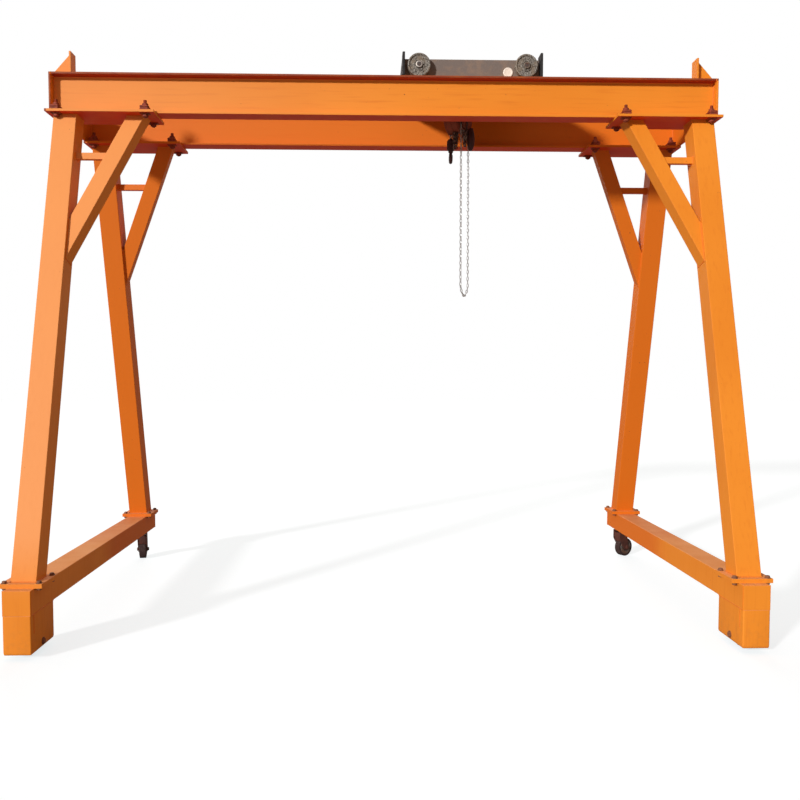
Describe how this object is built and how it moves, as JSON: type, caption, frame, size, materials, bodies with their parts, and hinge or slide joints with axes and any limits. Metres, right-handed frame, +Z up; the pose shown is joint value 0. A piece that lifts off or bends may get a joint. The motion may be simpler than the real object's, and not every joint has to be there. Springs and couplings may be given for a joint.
{
  "type": "portable A-frame gantry crane, double girder",
  "caption": "Portable A-frame gantry crane with a pair of I-beam girders, a travelling trolley and a hand chain hoist, on housed front wheels and rear swivel casters.",
  "frame": {"origin": "on the ground under the middle of the crane", "axes": "+X along the girders, -Y the front with the housed wheels, +Z up"},
  "size_m": [4.23, 2.63, 3.562],
  "materials": {
    "orange_paint": "brushed orange paint, satin",
    "trolley_steel": "dusty grey-brown",
    "wheel_iron": "rough cast, dusty",
    "black_paint": "black",
    "bolt_steel": "dull, lightly rusted",
    "hoist_paint": "dusty brown",
    "chain_steel": "zinc plated",
    "caster_steel": "dark red-brown, dusty",
    "caster_tread": "black, dusty"
  },
  "bodies": {
    "root": {"front_girder": "orange_paint", "rear_girder": "orange_paint", "end_plate_left": "orange_paint", "end_plate_right": "orange_paint", "trolley_stops": "orange_paint", "head_plates": "orange_paint", "girder_clamps": "orange_paint", "leg_front_left": "orange_paint", "leg_front_right": "orange_paint", "leg_rear_left": "orange_paint", "leg_rear_right": "orange_paint", "knee_braces_left": "orange_paint", "knee_braces_right": "orange_paint", "tie_bars": "orange_paint", "sill_beam_left": "orange_paint", "sill_beam_right": "orange_paint", "sill_end_caps": "orange_paint", "sill_seat_plates": "orange_paint", "leg_foot_plates": "orange_paint", "foot_bolts": "bolt_steel", "wheel_housing_left": "orange_paint", "wheel_housing_right": "orange_paint", "front_axles": "bolt_steel", "caster_plates": "caster_steel"},
    "trolley": {"trolley_channel_front": "trolley_steel", "trolley_channel_rear": "trolley_steel", "trolley_cross_members": "trolley_steel", "trolley_bumpers": "black_paint", "trolley_axles": "bolt_steel", "hanger_pin": "bolt_steel", "hoist_body": "hoist_paint", "hand_wheel": "hoist_paint", "hoist_cover": "hoist_paint", "load_chain": "chain_steel", "hook_block": "black_paint", "hand_chain": "chain_steel"},
    "hook": {"load_hook": "black_paint"},
    "trolley_wheel_front_left": {"trolley_wheel_front_left": "wheel_iron"},
    "trolley_wheel_front_right": {"trolley_wheel_front_right": "wheel_iron"},
    "trolley_wheel_rear_left": {"trolley_wheel_rear_left": "wheel_iron"},
    "trolley_wheel_rear_right": {"trolley_wheel_rear_right": "wheel_iron"},
    "front_wheel_left": {"front_wheel_left": "wheel_iron"},
    "front_wheel_right": {"front_wheel_right": "wheel_iron"},
    "caster_fork_left": {"caster_fork_left": "caster_steel"},
    "caster_wheel_left": {"caster_wheel_left": "caster_tread"},
    "caster_fork_right": {"caster_fork_right": "caster_steel"},
    "caster_wheel_right": {"caster_wheel_right": "caster_tread"}
  },
  "joints": [
    {"name": "trolley_travel", "type": "slide", "parent": "root", "child": "trolley", "axis": [1, 0, 0], "range_m": [-2.059, 0.979]},
    {"name": "hook_swivel", "type": "hinge", "parent": "trolley", "child": "hook", "pos_m": [0.44304, 0.03, 3.056], "axis": [0, 0, 1], "continuous": true},
    {"name": "trolley_wheel_front_left_turn", "type": "hinge", "parent": "trolley", "child": "trolley_wheel_front_left", "pos_m": [0.2, -0.387, 3.4823], "axis": [0, 1, 0], "continuous": true},
    {"name": "trolley_wheel_front_right_turn", "type": "hinge", "parent": "trolley", "child": "trolley_wheel_front_right", "pos_m": [0.88, -0.387, 3.4823], "axis": [0, 1, 0], "continuous": true},
    {"name": "trolley_wheel_rear_left_turn", "type": "hinge", "parent": "trolley", "child": "trolley_wheel_rear_left", "pos_m": [0.2, 0.387, 3.4823], "axis": [0, 1, 0], "continuous": true},
    {"name": "trolley_wheel_rear_right_turn", "type": "hinge", "parent": "trolley", "child": "trolley_wheel_rear_right", "pos_m": [0.88, 0.387, 3.4823], "axis": [0, 1, 0], "continuous": true},
    {"name": "front_wheel_left_turn", "type": "hinge", "parent": "root", "child": "front_wheel_left", "pos_m": [-2, -1.1515, 0.062], "axis": [1, 0, 0], "continuous": true},
    {"name": "front_wheel_right_turn", "type": "hinge", "parent": "root", "child": "front_wheel_right", "pos_m": [2, -1.1515, 0.062], "axis": [1, 0, 0], "continuous": true},
    {"name": "caster_swivel_left", "type": "hinge", "parent": "root", "child": "caster_fork_left", "pos_m": [-2, 1.19, 0.215], "axis": [0, 0, 1], "continuous": true},
    {"name": "caster_wheel_turn_left", "type": "hinge", "parent": "caster_fork_left", "child": "caster_wheel_left", "pos_m": [-2.00729, 1.23136, 0.075], "axis": [0.9848, 0.1736, 0], "continuous": true},
    {"name": "caster_swivel_right", "type": "hinge", "parent": "root", "child": "caster_fork_right", "pos_m": [2, 1.19, 0.215], "axis": [0, 0, 1], "continuous": true},
    {"name": "caster_wheel_turn_right", "type": "hinge", "parent": "caster_fork_right", "child": "caster_wheel_right", "pos_m": [2.03673, 1.21036, 0.075], "axis": [0.4848, -0.8746, 0], "continuous": true}
  ],
  "couplings": [
    {"joint": "trolley_wheel_front_left_turn", "follows": "trolley_travel", "rad_per_m": 13.889},
    {"joint": "trolley_wheel_front_right_turn", "follows": "trolley_travel", "rad_per_m": 13.889},
    {"joint": "trolley_wheel_rear_left_turn", "follows": "trolley_travel", "rad_per_m": 13.889},
    {"joint": "trolley_wheel_rear_right_turn", "follows": "trolley_travel", "rad_per_m": 13.889}
  ]
}
